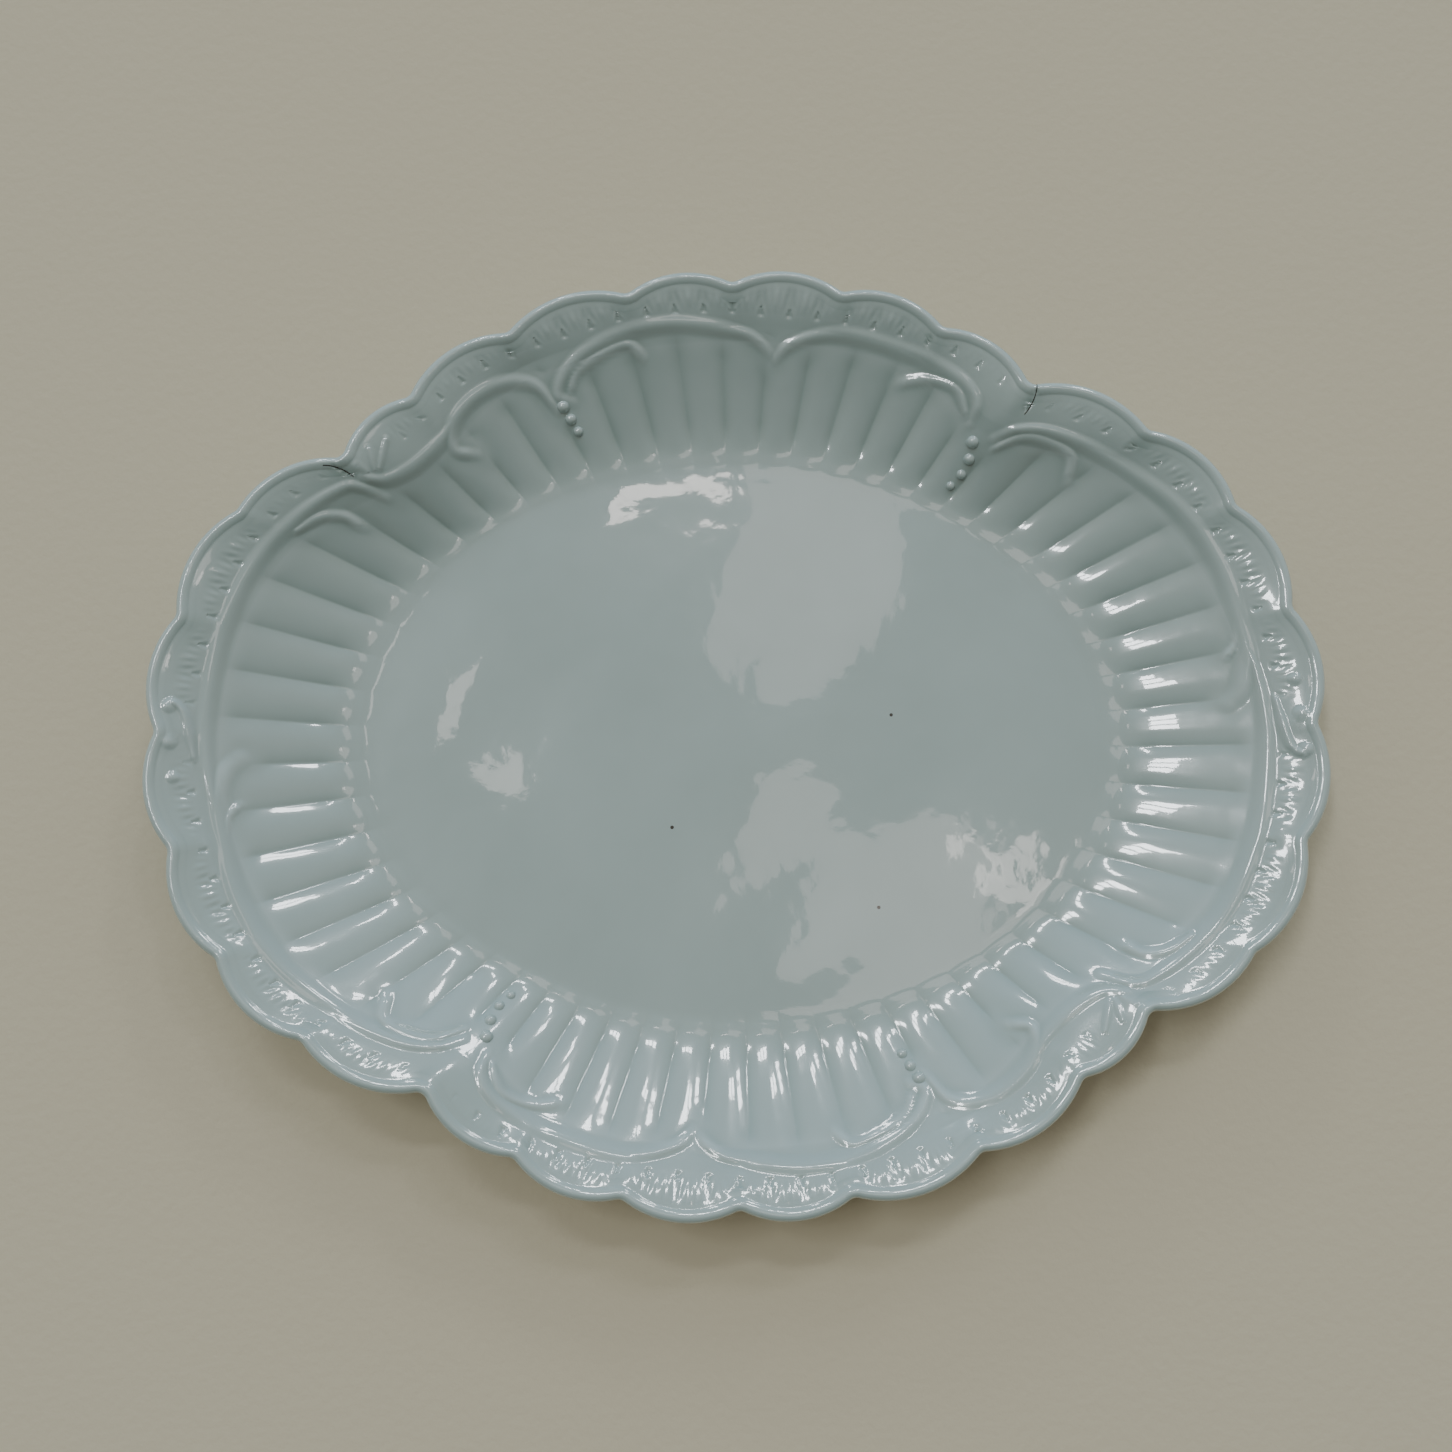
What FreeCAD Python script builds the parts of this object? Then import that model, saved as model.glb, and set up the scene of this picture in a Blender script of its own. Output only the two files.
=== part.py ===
import FreeCAD, Part
import math
import os

import Sketcher
from FreeCAD import Placement, Rotation, Vector

# An oval porcelain serving platter, lying on its foot ring.
# Frame: +Z up, +X along the long axis, origin on the table under the middle of the platter.
# Every closed curve in plan is written as a place (turn, reach): the turn is the angle of an ellipse
# (degrees from +X), the reach is a fraction of the platter's own half length and half width.
# The whole pattern repeats after half a turn, and is not mirrored.

DRIVING_SIZES = {
    "length": 340.0,           # over the crests of the scallops, along X
    "width": 274.5,            # the same, along Y
    "height": 29.0,            # table to the top of the lip
    "foot_height": 2.5,        # how far the foot ring stands below the base
    "foot_width": 5.0,         # wall of the foot ring
    "foot_inset": 9.0,         # foot ring inside the edge of the well
    "foot_bevel": 0.8,         # wiped edge of the foot ring
    "floor_thick": 4.5,
    "wall_thick": 4.0,         # at the valleys between gadroons
    "shoulder_drop": 6.5,      # scroll moulding's shelf below the lip's top
    "moulding_width": 5.0,
    "moulding_rise": 1.3,      # scroll moulding above its shelf
    "moulding_round": 1.9,
    "lip_width": 6.0,
    "lip_thick": 3.8,
    "lip_round": 1.7,
    "lip_step": 0.6,           # lip's top above the rim beside it
    "scallop_bulge": 0.15,     # height of a scallop over its chord
    "dip_radius": 3.0,         # hollow between two scallops
    "gadroon_count": 60.0,     # raised lobes round the wall, with sharp valleys between them
    "gadroon_bulge": 4.2,      # how far a gadroon stands in front of its valleys, at one level
    "gadroon_nose": 2.5,       # the same where the gadroons run out into the well
    "full_run": 30.0,          # width of wall from which the gadroons have their full bulge
    "end_gap": 2.0,            # shelf between the gadroons' outer ends and the moulding
    "bead_radius": 2.4,
    "bead_lift": 0.8,          # beads' centres above the valley that they lie in
}

# The dips between scallops over half a turn: (turn, reach). The two low ones are the deep notches.
DIPS = [
    (0.0, 0.983), (14.5, 0.983), (28.5, 0.985), (41.5, 0.962), (55.0, 0.902), (67.0, 0.946), (78.5, 0.972),
    (90.0, 0.976), (101.0, 0.970), (114.5, 0.952), (128.0, 0.917), (139.0, 0.898), (151.0, 0.980), (165.5, 0.985),
]
# Where the scroll moulding is drawn in behind the notches: (turn, spread).
DRAWN_IN = [(55.0, 10.0), (134.0, 13.0)]

# Bead drops over half a turn: each is a row of beads running down a valley, (turn, beads).
BEAD_DROPS = [(54.0, 4), (113.0, 3)]
BEAD_START = 0.88              # climb of a drop's first bead
BEAD_STEP = 0.15               # climb from one bead to the next
BEAD_TAPER = 0.12              # each bead is smaller than the first by this share, times its number


def make_sheet(doc):
    """The driving dimensions, in millimetres, each with an alias."""
    sheet = doc.addObject("Spreadsheet::Sheet", "sizes")
    for row, (alias, value) in enumerate(DRIVING_SIZES.items(), start=1):
        sheet.set(f"A{row}", alias)
        sheet.set(f"B{row}", repr(value))
        sheet.setAlias(f"B{row}", alias)
    doc.recompute()
    return sheet


def bell(turn, middle, spread):
    """1 at the middle, falling smoothly to 0, the same half a turn away."""
    away = (turn - middle + 90.0) % 180.0 - 90.0
    return math.exp(-((away / spread) ** 2))


def well_reach(turn):
    """Edge of the flat well: an oval drawn in towards the first notch."""
    side = 0.5 + 0.5 * math.cos(math.radians(2.0 * turn))
    return 0.660 + 0.045 * side - 0.045 * bell(turn, 52.0, 17.0)


def shoulder_reach(turn):
    """Middle of the scroll moulding: an oval drawn in at the notches."""
    side = 0.5 + 0.5 * math.cos(math.radians(2.0 * turn))
    drawn_in = sum(bell(turn, middle, spread) for middle, spread in DRAWN_IN)
    return 0.890 + 0.018 * side - 0.085 * drawn_in


def valley_turn(index):
    """Turn of a valley between two gadroons: they stand closer along the long sides."""
    even = 6.0 * index + 2.7
    return even + 3.5 * math.sin(math.radians(2.0 * even + 20.0))


class Platter:
    """The sheet's sizes, and the curves that follow from them."""

    def __init__(self, sheet):
        for alias in DRIVING_SIZES:
            setattr(self, alias, float(getattr(sheet, alias)))
        self.base_top = self.foot_height + self.floor_thick
        self.shelf = self.height - self.shoulder_drop
        self.rim_edge = self.height - self.lip_step
        self.lip_bottom = self.height - self.lip_thick
        self.gadroons = int(self.gadroon_count)

    def place(self, turn, reach, out=0.0, level=0.0):
        """A point in plan, moved outwards from the middle by some millimetres."""
        angle = math.radians(turn)
        spot = Vector(0.5 * self.length * reach * math.cos(angle), 0.5 * self.width * reach * math.sin(angle), 0.0)
        spot = spot * (1.0 + out / spot.Length)
        return spot + Vector(0.0, 0.0, level)

    def smooth_curve(self, reach_of, out, level):
        """Closed spline whose own parameter is the turn, in degrees."""
        turns = list(range(0, 360, 5))
        points = [self.place(turn, reach_of(turn), out, level) for turn in turns]
        curve = Part.BSplineCurve()
        curve.interpolate(Points=points, Parameters=[float(turn) for turn in turns] + [360.0], PeriodicFlag=True)
        return curve

    def smooth_wire(self, reach_of, out, level):
        return Part.Wire([self.smooth_curve(reach_of, out, level).toShape()])

    def scallops(self):
        """Centre and radius of each scallop, and centre of the small hollow that follows it."""
        dips = [self.place(turn + half, reach) for half in (0.0, 180.0) for turn, reach in DIPS]
        lobes = []
        for start, end in zip(dips, dips[1:] + dips[:1]):
            chord = end - start
            rise = self.scallop_bulge * chord.Length
            radius = (0.25 * chord.Length ** 2 + rise ** 2) / (2.0 * rise)
            outward = Vector(chord.y, -chord.x, 0.0).normalize()
            lobes.append(((start + end) * 0.5 + outward * (rise - radius), radius))
        hollows = []
        for (centre, radius), (next_centre, next_radius) in zip(lobes, lobes[1:] + lobes[:1]):
            near, far = radius + self.dip_radius, next_radius + self.dip_radius
            across = next_centre - centre
            along = (across.Length ** 2 + near ** 2 - far ** 2) / (2.0 * across.Length)
            outward = Vector(across.y, -across.x, 0.0).normalize()
            unit = Vector(across).normalize()
            hollows.append(centre + unit * along + outward * math.sqrt(near ** 2 - along ** 2))
        return lobes, hollows

    def outline_edges(self, inset, level):
        """The scalloped outline, set in by some millimetres: a long arc and a short arc in turn."""
        lobes, hollows = self.scallops()
        lift = Vector(0.0, 0.0, level)
        edges = []
        for index, (centre, radius) in enumerate(lobes):
            before, after = hollows[index - 1], hollows[index]
            next_centre = lobes[(index + 1) % len(lobes)][0]
            long_radius = radius - inset
            short_radius = self.dip_radius + inset

            def towards(origin, target, distance):
                return origin + (target - origin).normalize() * distance + lift

            start = towards(centre, before, long_radius)
            end = towards(centre, after, long_radius)
            middle = towards(centre, centre + (start + end) * 0.5 - centre - lift, long_radius)
            edges.append(Part.Arc(start, middle, end).toShape())
            resume = towards(after, next_centre, short_radius)
            bottom = towards(after, (end + resume) * 0.5 - lift, short_radius)
            edges.append(Part.Arc(end, bottom, resume).toShape())
        return edges

    def outline_wire(self, inset, level):
        return Part.Wire(self.outline_edges(inset, level))

    def split_wire(self, reach_of, out, level, turns):
        """A smooth closed curve cut at the given turns, so that it can be ruled to the outline."""
        curve = self.smooth_curve(reach_of, out, level)
        edges = []
        for start, end in zip(turns, turns[1:] + [turns[0] + 360.0]):
            edges.append(curve.toShape(start, end))
        return Part.Wire(edges)

    def turn_of(self, point):
        return math.degrees(math.atan2(point.y / self.width, point.x / self.length))

    def wall_place(self, turn, climb, out=0.0):
        """A point in a valley: climb runs from 0 at the well to 1 at the gadroons' outer ends."""
        well = self.place(turn, well_reach(turn), self.gadroon_nose)
        top = self.place(turn, shoulder_reach(turn), -0.5 * self.moulding_width - self.end_gap)
        spot = well + (top - well) * climb
        spot = spot * (1.0 + out / spot.Length)
        return spot + Vector(0.0, 0.0, self.wall_level(climb))

    def wall_level(self, climb):
        """Height of a valley: the wall starts gently from the well and steepens."""
        return self.base_top + (self.shelf - self.base_top) * climb ** 1.35

    def belly_wire(self, climb):
        """The underside part of the way up, a wall's thickness below the valleys."""
        level = self.wall_level(climb) - self.wall_thick
        turns = list(range(0, 360, 5))
        points = [self.wall_place(turn, climb) for turn in turns]
        curve = Part.BSplineCurve()
        curve.interpolate(Points=[Vector(point.x, point.y, level) for point in points],
                          Parameters=[float(turn) for turn in turns] + [360.0], PeriodicFlag=True)
        return Part.Wire([curve.toShape()])

    def gadrooned_wire(self, climb, bulge):
        """One level of the hollow: an arc for each gadroon, standing into the hollow between its valleys."""
        edges = []
        for index in range(self.gadroons):
            start, end = valley_turn(index), valley_turn(index + 1)
            centre = 0.5 * (start + end)
            run = (self.wall_place(centre, 1.0) - self.wall_place(centre, 0.0)).Length
            first = self.wall_place(start, climb)
            middle = self.wall_place(centre, climb, -bulge * min(1.0, run / self.full_run))
            last = self.wall_place(end % 360.0 if index + 1 == self.gadroons else end, climb)
            edges.append(Part.Arc(first, middle, last).toShape())
        return Part.Wire(edges)


def add_wire(doc, name, wire):
    """A construction curve, drawn by code from the sheet's sizes."""
    feature = doc.addObject("Part::Feature", name)
    feature.Shape = wire
    return feature


def add_extrusion(doc, name, base, length):
    """A closed curve drawn up into a solid, its length an expression."""
    feature = doc.addObject("Part::Extrusion", name)
    feature.Base = base
    feature.DirMode = "Custom"
    feature.Dir = Vector(0.0, 0.0, 1.0)
    feature.Solid = True
    feature.setExpression("LengthFwd", length)
    return feature


def add_loft(doc, name, sections, ruled):
    feature = doc.addObject("Part::Loft", name)
    feature.Sections = sections
    feature.Solid = True
    feature.Ruled = ruled
    return feature


def add_cut(doc, name, base, tool):
    feature = doc.addObject("Part::Cut", name)
    feature.Base = base
    feature.Tool = tool
    return feature


def add_body_with_sketch(doc, name, geometry):
    """A body with one sketch on its own XY plane."""
    body = doc.addObject("PartDesign::Body", name)
    sketch = body.newObject("Sketcher::SketchObject", name + "_sketch")
    plane = next(item for item in body.Origin.OriginFeatures if item.Role == "XY_Plane")
    sketch.AttachmentSupport = [(plane, "")]
    sketch.MapMode = "FlatFace"
    sketch.addGeometry(geometry, False)
    doc.recompute()
    return body, sketch


def add_pad(doc, body, sketch, length):
    pad = body.newObject("PartDesign::Pad", body.Name + "_pad")
    pad.Profile = sketch
    pad.setExpression("Length", length)
    doc.recompute()
    return pad


def edges_between(shape, test):
    """Names of the edges whose two ends and middle all pass a test."""
    names = []
    for number, edge in enumerate(shape.Edges, start=1):
        places = [edge.valueAt(edge.FirstParameter + step * (edge.LastParameter - edge.FirstParameter))
                  for step in (0.0, 0.5, 1.0)]
        if all(test(place) for place in places):
            names.append(f"Edge{number}")
    return names


def make_well_floor(doc, platter):
    """The flat oval bottom, on which the food lies."""
    outline = platter.smooth_curve(well_reach, 0.0, 0.0)
    body, sketch = add_body_with_sketch(doc, "well_floor", [outline])
    add_pad(doc, body, sketch, "sizes.floor_thick")
    body.setExpression("Placement.Base.z", "sizes.foot_height")
    return body


def make_foot_ring(doc, platter):
    """The unglazed ring under the well, with its edges wiped to a bevel."""
    half_length = 0.5 * platter.length * well_reach(0.0) - platter.foot_inset
    half_width = 0.5 * platter.width * well_reach(90.0) - platter.foot_inset
    centre = Vector(0.0, 0.0, 0.0)
    outer = Part.Ellipse(centre, half_length, half_width)
    inner = Part.Ellipse(centre, half_length - platter.foot_width, half_width - platter.foot_width)
    body, sketch = add_body_with_sketch(doc, "foot_ring", [outer, inner])
    pad = add_pad(doc, body, sketch, "sizes.foot_height")
    bevel = body.newObject("PartDesign::Chamfer", "foot_bevel_cut")
    bevel.Base = (pad, edges_between(pad.Shape, lambda place: abs(place.z) < 1e-6))
    bevel.setExpression("Size", "sizes.foot_bevel")
    doc.recompute()
    return body


def make_gadrooned_wall(doc, platter):
    """The curved wall round the well, with its ring of gadroons."""
    inner_edge = -0.5 * platter.moulding_width
    base = add_wire(doc, "wall_base", platter.smooth_wire(well_reach, 0.0, platter.foot_height))
    under = platter.shelf - platter.wall_thick
    belly = add_wire(doc, "wall_belly", platter.belly_wire(0.5))
    brim = add_wire(doc, "wall_brim", platter.smooth_wire(shoulder_reach, inner_edge, under))
    top = add_wire(doc, "wall_top", platter.smooth_wire(shoulder_reach, inner_edge, platter.shelf))
    block = add_loft(doc, "wall_block", [base, belly, brim, top], True)
    nose = platter.gadroon_nose / platter.gadroon_bulge
    levels = [(0.0, nose), (0.2, 0.85), (0.45, 1.0), (0.75, 1.0), (1.0, 0.75)]
    sections = []
    for number, (climb, share) in enumerate(levels):
        wire = platter.gadrooned_wire(climb, share * platter.gadroon_bulge)
        sections.append(add_wire(doc, f"gadroon_level_{number}", wire))
    hollow = add_loft(doc, "gadroon_hollow", sections, False)
    hollowed = add_cut(doc, "hollowed_wall", block, hollow)
    well = add_wire(doc, "well_edge", platter.smooth_wire(well_reach, 0.0, 0.0))
    core = add_extrusion(doc, "well_core", well, "sizes.height")
    return add_cut(doc, "gadrooned_wall", hollowed, core)


def make_scroll_moulding(doc, platter):
    """The rounded moulding that frames the gadroons."""
    half = 0.5 * platter.moulding_width
    level = platter.shelf - platter.wall_thick
    rings = []
    for name, out in (("outer", half), ("inner", -half)):
        wire = add_wire(doc, f"moulding_{name}_line", platter.smooth_wire(shoulder_reach, out, level))
        rings.append(add_extrusion(doc, f"moulding_{name}", wire, "sizes.wall_thick + sizes.moulding_rise"))
    ring = add_cut(doc, "moulding_ring", rings[0], rings[1])
    doc.recompute()
    crown = platter.shelf + platter.moulding_rise
    rounded = doc.addObject("Part::Fillet", "scroll_moulding")
    rounded.Base = ring
    names = edges_between(ring.Shape, lambda place: abs(place.z - crown) < 1e-6)
    rounded.Edges = [(int(name[4:]), platter.moulding_round, platter.moulding_round) for name in names]
    return rounded


def make_ruffled_rim(doc, platter):
    """The flaring band from the moulding out to the scalloped lip."""
    half = 0.5 * platter.moulding_width
    outline = platter.outline_edges(platter.lip_width, platter.rim_edge)
    turns = []
    for edge in outline:
        turn = platter.turn_of(edge.valueAt(edge.FirstParameter))
        while turns and turn < turns[-1]:
            turn += 360.0
        turns.append(turn)
    under = platter.shelf - platter.wall_thick
    upper = [
        add_wire(doc, "rim_inner_top", platter.split_wire(shoulder_reach, half, platter.shelf, turns)),
        add_wire(doc, "rim_outer_top", Part.Wire(outline)),
    ]
    lower = [
        add_wire(doc, "rim_inner_under", platter.split_wire(shoulder_reach, half, under, turns)),
        add_wire(doc, "rim_outer_under", platter.outline_wire(platter.lip_width, platter.lip_bottom)),
        upper[1],
    ]
    block = add_loft(doc, "rim_block", lower, True)
    hollow = add_loft(doc, "rim_hollow", upper, True)
    shell = add_cut(doc, "rim_shell", block, hollow)
    eye = add_wire(doc, "rim_eye_line", platter.smooth_wire(shoulder_reach, half, 0.0))
    core = add_extrusion(doc, "rim_core", eye, "sizes.height")
    return add_cut(doc, "ruffled_rim", shell, core)


def make_rolled_lip(doc, platter):
    """The rounded edge that follows all the scallops."""
    geometry = [edge.Curve.trim(edge.FirstParameter, edge.LastParameter)
                for inset in (0.0, platter.lip_width) for edge in platter.outline_edges(inset, 0.0)]
    body, sketch = add_body_with_sketch(doc, "rolled_lip", geometry)
    pad = add_pad(doc, body, sketch, "sizes.lip_thick")
    outer = Part.Face(platter.outline_wire(0.5 * platter.lip_width, 0.0))

    def on_outside(place):
        return not outer.isInside(Vector(place.x, place.y, 0.0), 1e-3, True) and (
            abs(place.z) < 1e-6 or abs(place.z - platter.lip_thick) < 1e-6)

    upright = {f"Edge{number}" for number, edge in enumerate(pad.Shape.Edges, start=1)
               if abs(edge.BoundBox.ZLength) > 1e-6}
    names = [name for name in edges_between(pad.Shape, on_outside) if name not in upright]
    rounded = body.newObject("PartDesign::Fillet", "lip_rounding")
    rounded.Base = (pad, names)
    rounded.setExpression("Radius", "sizes.lip_round")
    doc.recompute()
    body.setExpression("Placement.Base.z", "sizes.height - sizes.lip_thick")
    return body


def make_bead_drops(doc, platter, wall):
    """Short rows of beads that run down the wall from the moulding's cusps, each in a valley."""
    beads = []
    for half in (0.0, 180.0):
        for turn, count in BEAD_DROPS:
            for step in range(count):
                centre = platter.wall_place(turn + half, BEAD_START - BEAD_STEP * step)
                bead = doc.addObject("Part::Sphere", f"bead_{len(beads) + 1}")
                bead.setExpression("Radius", f"sizes.bead_radius * {1.0 - BEAD_TAPER * step:.2f}")
                bead.Placement = Placement(centre + Vector(0.0, 0.0, platter.bead_lift), Rotation())
                beads.append(bead)
    cluster = doc.addObject("Part::Compound", "bead_cluster")
    cluster.Links = beads
    return add_cut(doc, "bead_drops", cluster, wall)


def check_document(doc, nodes):
    """Stops unless every object is sound and every sub-part is a valid closed solid."""
    for item in doc.Objects:
        if "Invalid" in item.State or "Error" in item.State:
            raise RuntimeError(f"{item.Label} failed: {item.State}")
    for node in nodes:
        shape = node.Shape
        if shape.isNull() or not shape.isValid() or not shape.Solids:
            raise RuntimeError(f"{node.Label} has no valid solid")
        print(f"{node.Label}: {len(shape.Solids)} solid(s), {len(shape.Faces)} faces, {shape.Volume / 1000.0:.1f} cm3")


def main():
    doc = FreeCAD.newDocument("serving_platter")
    platter = Platter(make_sheet(doc))
    wall = make_gadrooned_wall(doc, platter)
    nodes = [
        make_well_floor(doc, platter),
        make_foot_ring(doc, platter),
        wall,
        make_scroll_moulding(doc, platter),
        make_ruffled_rim(doc, platter),
        make_rolled_lip(doc, platter),
        make_bead_drops(doc, platter, wall),
    ]
    doc.recompute()
    check_document(doc, nodes)
    os.makedirs("parts", exist_ok=True)
    for node in nodes:
        node.Shape.exportStep(os.path.join("parts", node.Label + ".step"))


main()
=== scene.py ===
"""China serving platter: each region of the casting in one shared frame, with its glaze, floor and lights."""

import math

import bpy
import numpy as np
from mathutils import Matrix, Vector


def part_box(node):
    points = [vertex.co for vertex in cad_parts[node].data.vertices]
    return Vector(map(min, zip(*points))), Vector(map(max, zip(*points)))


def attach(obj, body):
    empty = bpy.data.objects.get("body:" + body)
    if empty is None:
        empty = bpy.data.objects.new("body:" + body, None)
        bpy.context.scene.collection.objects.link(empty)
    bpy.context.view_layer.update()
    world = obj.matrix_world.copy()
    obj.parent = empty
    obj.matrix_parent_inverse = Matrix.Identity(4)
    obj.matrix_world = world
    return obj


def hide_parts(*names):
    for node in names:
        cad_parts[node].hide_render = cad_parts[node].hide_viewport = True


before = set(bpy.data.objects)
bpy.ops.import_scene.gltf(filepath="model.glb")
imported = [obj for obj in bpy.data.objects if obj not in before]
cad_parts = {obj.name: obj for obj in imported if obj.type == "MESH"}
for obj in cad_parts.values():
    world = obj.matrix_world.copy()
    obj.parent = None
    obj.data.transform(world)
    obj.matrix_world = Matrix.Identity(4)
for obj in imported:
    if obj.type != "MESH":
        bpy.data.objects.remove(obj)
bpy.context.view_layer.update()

bl_info = {
    "name": "China serving platter",
    "version": (1, 0, 0),
    "blender": (4, 5, 0),
    "location": "View3D > Sidebar > China",
    "description": "Makes an oval porcelain platter with gadroons, scrolls and a scalloped lip",
    "category": "Object",
}

MM = 0.001
BODY = "root"

# A place in plan is (turn, reach): the turn is the angle of an ellipse in degrees from +X,
# the reach a share of the platter's half length and half width.
# The moulded pattern repeats after half a turn.
DIPS = [  # dips between the scallops; the two lowest are the deep notches
    (0.0, 0.983), (14.5, 0.983), (28.5, 0.985), (41.5, 0.962), (55.0, 0.902), (67.0, 0.946), (78.5, 0.972),
    (90.0, 0.976), (101.0, 0.970), (114.5, 0.952), (128.0, 0.917), (139.0, 0.898), (151.0, 0.980),
    (165.5, 0.985),
]
DRAWN_IN = [(55.0, 10.0), (134.0, 13.0)]     # where the shoulder goes behind the notches: turn, spread
SCALLOP_BULGE = 0.15                         # rise of a scallop, as a share of the distance between its dips
HOLLOW_RADIUS = 3.0                          # mm, small hollow between two scallops

# Cords of the scroll relief: kind, places, half width at start, middle and end (mm), height (mm).
# A frame stops the gadroons; a hook lies over them; a sprig lies on the rim.
SCROLLS = [
    ("frame", [(3.5, .855), (5.0, .874), (7.2, .885), (9.8, .894), (14.8, .898), (21.8, .907), (28.9, .907),
               (35.0, .898), (43.1, .875), (48.8, .851), (52.3, .821), (54.2, .786)], (3.7, 3.2, 2.1), 0.79),
    ("hook", [(10.1, .865), (11.5, .882), (13.2, .889), (16.0, .894)], (2.1, 1.6, 1.2), 0.58),
    ("hook", [(42.8, .808), (45.1, .840), (48.2, .833), (51.3, .812), (53.4, .770)], (2.4, 2.2, 1.5), 0.72),
    ("frame", [(58.0, .792), (58.8, .825), (60.7, .849), (63.8, .866), (69.0, .881), (75.3, .890),
               (79.5, .884), (83.1, .860), (84.7, .832)], (2.1, 3.1, 2.2), 0.76),
    ("hook", [(59.0, .800), (62.2, .840), (65.8, .844), (68.8, .826)], (1.5, 2.1, 2.4), 0.69),
    ("frame", [(85.4, .842), (88.3, .874), (94.1, .894), (98.3, .900), (103.5, .892), (107.7, .874),
               (110.9, .845), (112.6, .812), (111.2, .793)], (2.1, 3.1, 2.4), 0.76),
    ("hook", [(100.9, .847), (102.3, .873), (105.6, .865), (109.0, .845), (111.0, .812)],
     (2.4, 2.1, 1.5), 0.69),
    ("frame", [(113.6, .785), (114.3, .837), (116.1, .859), (118.7, .867), (121.8, .861), (124.9, .844),
               (127.2, .820), (128.2, .790), (126.4, .770)], (2, 2.9, 2.4), 0.76),
    ("frame", [(125.6, .842), (128.1, .821), (131.2, .809), (134.8, .806), (137.9, .819), (139.6, .847)],
     (1.7, 2.8, 2), 0.69),
    ("frame", [(139.8, .800), (141.0, .847), (142.9, .865), (146.5, .882), (150.5, .894), (154.6, .904),
               (160.1, .908), (168.2, .907), (176.2, .905), (182.2, .904), (188.2, .900), (195.5, .895)],
     (2, 3.2, 1.7), 0.79),
    ("hook", [(145.2, .800), (145.3, .832), (147.2, .861), (150.5, .881)], (2.5, 2.2, 1.5), 0.72),
    ("sprig", [(-4.1, .959), (-2.8, .940), (-0.3, .929), (3.7, .922)], (1.3, 1.8, 1), 0.66),
    ("sprig", [(137.4, .838), (133.6, .874)], (1, 1.4, 1.1), 0.41),
    ("sprig", [(137.9, .840), (136.0, .880)], (1, 1.4, 1.1), 0.41),
    ("sprig", [(138.6, .846), (138.6, .874)], (1, 1.3, 1), 0.37),
]
# Knobs of the rim at the platter's ends: turn, reach, radius, height
KNOBS = [(-3.3, 0.962, 2.4, 0.7), (1.3, 0.957, 2.4, 0.7), (5.7, 0.955, 2.1, 0.55)]
BEAD_ROWS = [  # each runs down from a scroll: turn, reach
    [(56.3, 0.766), (55.2, 0.737), (54.7, 0.707), (54.9, 0.679)],
    [(112.6, 0.791), (112.4, 0.764), (112.2, 0.737)],
]
BEAD_RADIUS, BEAD_TAPER = 1.85, 0.18         # mm, the first bead of a row and how much less each next one has
CREASES = [((89.6, 99.2), (86.5, 93.3)), ((-117.4, 78.1), (-112.3, 75.7))]     # mm, outer and inner end
CREASE_BOW = 45.0                            # per m
CREASE_HALF_WIDTH, CREASE_PAST = 0.16, 3.0   # mm, and how far it goes on past its outer end
SPECKS, SPECK_RADIUS = [(47.0, 6.0), (42.0, -51.6), (-19.2, -27.4)], 0.55      # mm

# The wall. Its climb is 0 where the gadroons start and 1 at the shoulder.
WALL_BEND = 1.25             # 1 is a straight wall, more is hollower
WALL_DIVE = 14.0             # mm, how fast the wall's line runs on down under the well
FLOOR_BLEND = 0.50           # mm, softness of the meeting of well and wall
NOSE_DEPTH, NOSE_RUN = 0.25, 0.3             # share of the valleys' depth at the start, climb to all of it
OUTER_FADE, FADE_START = 0.3, 0.2            # share of the depth lost at the shoulder, climb where it starts
HOOK_CALM, HOOK_REACH = 0.7, 3.2             # share of the depth lost under a hook, and how wide (mm)
END_ROOM, END_RUN = 8.0, 6.5                 # mm, gadroons start to end this far from a cord, and over this
RECESS = 0.12                # mm, between the gadroons' ends and the cords
SAG = 0.16                   # mm, slow sagging of the flat well in the kiln

# The rim and its ruffle
RIM_BEND = 1.5               # 1 is a straight rim, more flattens it towards the lip
FANS = 104                   # fans of strokes round the rim
STROKE_HEIGHT, STROKE_PERIOD = 0.09, 2.6     # mm
FAN_SWELL, PIT_DEPTH = 0.16, 0.45            # mm

# The lip and the underside
LIP_STAND = 0.5              # mm, the roll above the rim beside it
UNDER_BEND, UNDER_DIVE = 1.3, 9.0            # as for the wall
UNDER_BLEND, LIP_THINNING = 0.6, 0.7         # mm
JOIN = 0.05                  # mm, the base inside the foot ring sinks under the top of the ring by this

# The lattice that the pieces share, and where they meet
AROUND = 1920                # points round each ring; every ring shares them, so seams meet point for point
WALL_STEPS, MOULDING_STEPS, RIM_STEPS = 42, 22, 38
UNDER_WALL_STEPS, UNDER_MOULDING_STEPS, UNDER_RIM_STEPS, UNDER_LIP_STEPS = 8, 5, 8, 4
WELL_SEAM = 0.03             # reach, inside the start of the gadroons
MOULDING_INSIDE, MOULDING_OUTSIDE = 4.0, 3.2 # mm, its seams from the shoulder's line
LIP_SEAM = 5.6               # mm, inside the edge


def hex_colour(text):
    """sRGB hex to linear RGBA."""
    channels = [int(text[i:i + 2], 16) / 255.0 for i in (1, 3, 5)]
    return tuple(c / 12.92 if c <= 0.04045 else ((c + 0.055) / 1.055) ** 2.4 for c in channels) + (1.0,)


def length(name, description, millimetres):
    return bpy.props.FloatProperty(name=name, description=description, default=millimetres * MM,
                                   subtype="DISTANCE", unit="LENGTH", precision=5)


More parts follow.
